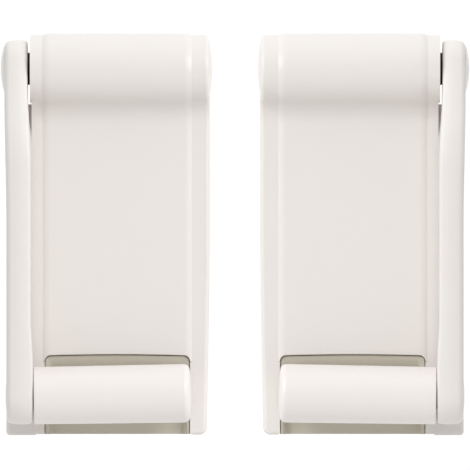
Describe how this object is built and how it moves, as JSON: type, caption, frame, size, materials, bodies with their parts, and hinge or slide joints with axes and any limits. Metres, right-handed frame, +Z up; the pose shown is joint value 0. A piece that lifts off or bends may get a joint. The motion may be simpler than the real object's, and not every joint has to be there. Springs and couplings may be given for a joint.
{
  "type": "window opening restrictor pair",
  "caption": "Matched left and right surface-mounted opening stops: barrel on a plate, spring-returned side arm, roller grip parked over a finger recess.",
  "frame": {"origin": "middle of the four mounting-screw holes, on the mounting plane, midway between the two units", "axes": "+X to the right across the pair, +Y into the window frame behind the mounting faces, +Z up"},
  "size_m": [0.1166, 0.0233, 0.1],
  "materials": {
    "white_plastic": "moulded, soft gloss, slightly warm white",
    "grip_plastic": "moulded, soft gloss, slightly warm white",
    "olive_plastic": "satin olive-grey moulding",
    "natural_acetal": "natural, smooth",
    "grey_rubber": "matt",
    "dark_washer": "matt, dark brown",
    "shaft_steel": "ground",
    "spring_wire": "drawn wire, oiled",
    "bronze": "plain bronze"
  },
  "bodies": {
    "root": {"left_housing": "white_plastic", "left_front_cover": "white_plastic", "left_recess_tray": "olive_plastic", "left_barrel_end_cap": "white_plastic", "left_outer_bushing": "natural_acetal", "left_inner_bushing": "natural_acetal", "left_spring_anchor": "natural_acetal", "left_stop_pin": "shaft_steel", "left_park_bumper": "grey_rubber", "left_torsion_spring": "spring_wire", "right_housing": "white_plastic", "right_front_cover": "white_plastic", "right_recess_tray": "olive_plastic", "right_barrel_end_cap": "white_plastic", "right_outer_bushing": "natural_acetal", "right_inner_bushing": "natural_acetal", "right_spring_anchor": "natural_acetal", "right_stop_pin": "shaft_steel", "right_park_bumper": "grey_rubber", "right_torsion_spring": "spring_wire"},
    "left_arm": {"left_pivot_shaft": "shaft_steel", "left_spring_hub": "natural_acetal", "left_stop_collar": "shaft_steel", "left_arm": "white_plastic", "left_spacer_washer": "dark_washer", "left_arm_screw": "shaft_steel", "left_pivot_cap": "white_plastic", "left_grip_axle": "shaft_steel", "left_axle_cap": "white_plastic", "left_grip_washer": "bronze", "left_axle_clip": "spring_wire"},
    "left_grip": {"left_grip_sleeve": "grip_plastic", "left_grip_bushings": "natural_acetal", "left_grip_end_cap": "grip_plastic"},
    "right_arm": {"right_pivot_shaft": "shaft_steel", "right_spring_hub": "natural_acetal", "right_stop_collar": "shaft_steel", "right_arm": "white_plastic", "right_spacer_washer": "dark_washer", "right_arm_screw": "shaft_steel", "right_pivot_cap": "white_plastic", "right_grip_axle": "shaft_steel", "right_axle_cap": "white_plastic", "right_grip_washer": "bronze", "right_axle_clip": "spring_wire"},
    "right_grip": {"right_grip_sleeve": "grip_plastic", "right_grip_bushings": "natural_acetal", "right_grip_end_cap": "grip_plastic"}
  },
  "joints": [
    {"name": "left_arm_swing", "type": "hinge", "parent": "root", "child": "left_arm", "pos_m": [-0.0545, -0.009, 0.0412], "axis": [-1, 0, 0], "range_deg": [0, 90], "stiffness_Nm_per_rad": 0.02, "springref_deg": -28.65, "deforming": ["left_torsion_spring"]},
    {"name": "left_grip_spin", "type": "hinge", "parent": "left_arm", "child": "left_grip", "pos_m": [-0.05, -0.016, -0.0401], "axis": [0.9999, 0, 0.0157], "continuous": true},
    {"name": "right_arm_swing", "type": "hinge", "parent": "root", "child": "right_arm", "pos_m": [0.0545, -0.009, 0.0412], "axis": [-1, 0, 0], "range_deg": [0, 90], "stiffness_Nm_per_rad": 0.02, "springref_deg": -28.65, "deforming": ["right_torsion_spring"]},
    {"name": "right_grip_spin", "type": "hinge", "parent": "right_arm", "child": "right_grip", "pos_m": [0.05, -0.016, -0.0401], "axis": [0.9999, 0, -0.0157], "continuous": true}
  ]
}
